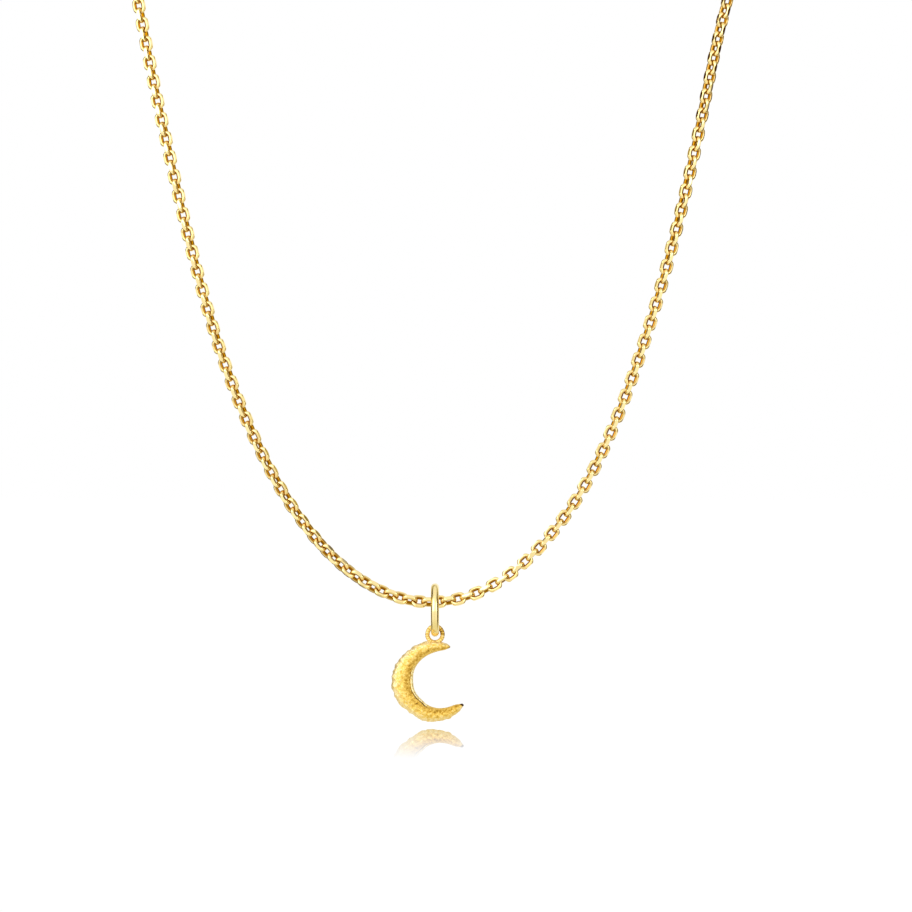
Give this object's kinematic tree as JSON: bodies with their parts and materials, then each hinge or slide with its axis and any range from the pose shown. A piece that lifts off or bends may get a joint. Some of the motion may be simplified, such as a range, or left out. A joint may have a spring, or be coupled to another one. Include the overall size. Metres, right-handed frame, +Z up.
{
  "type": "moon necklace",
  "caption": "Gold anchor-chain necklace with a rough cast crescent moon charm that hangs from a round-wire bail ring.",
  "frame": {"origin": "middle of the neck at the height of the chain's line round the back, where the necklace hangs", "axes": "+Z up, out of the neck opening; -Y towards the front, where the moon hangs; +X to the viewer's right in the picture"},
  "size_m": [0.103, 0.0873, 0.1301],
  "materials": {
    "cut_gold": "polished gold plating with bright cut flats",
    "polished_gold": "smooth polished gold plating",
    "frosted_gold": "frosted matte gold plating on a rough cast skin"
  },
  "bodies": {
    "root": {"chain_front": "cut_gold", "chain_back": "cut_gold", "clasp": "polished_gold"},
    "bail": {"bail_ring": "polished_gold"},
    "moon": {"moon_pendant": "frosted_gold"}
  },
  "joints": [
    {"name": "bail_swing", "type": "hinge", "parent": "root", "child": "bail", "pos_m": [0, -0.0332, -0.11124], "axis": [1, 0, 0], "range_deg": [-90, 90]},
    {"name": "moon_swing", "type": "hinge", "parent": "bail", "child": "moon", "pos_m": [0, -0.0332, -0.11535], "axis": [0, 1, 0], "range_deg": [-90, 60]}
  ]
}
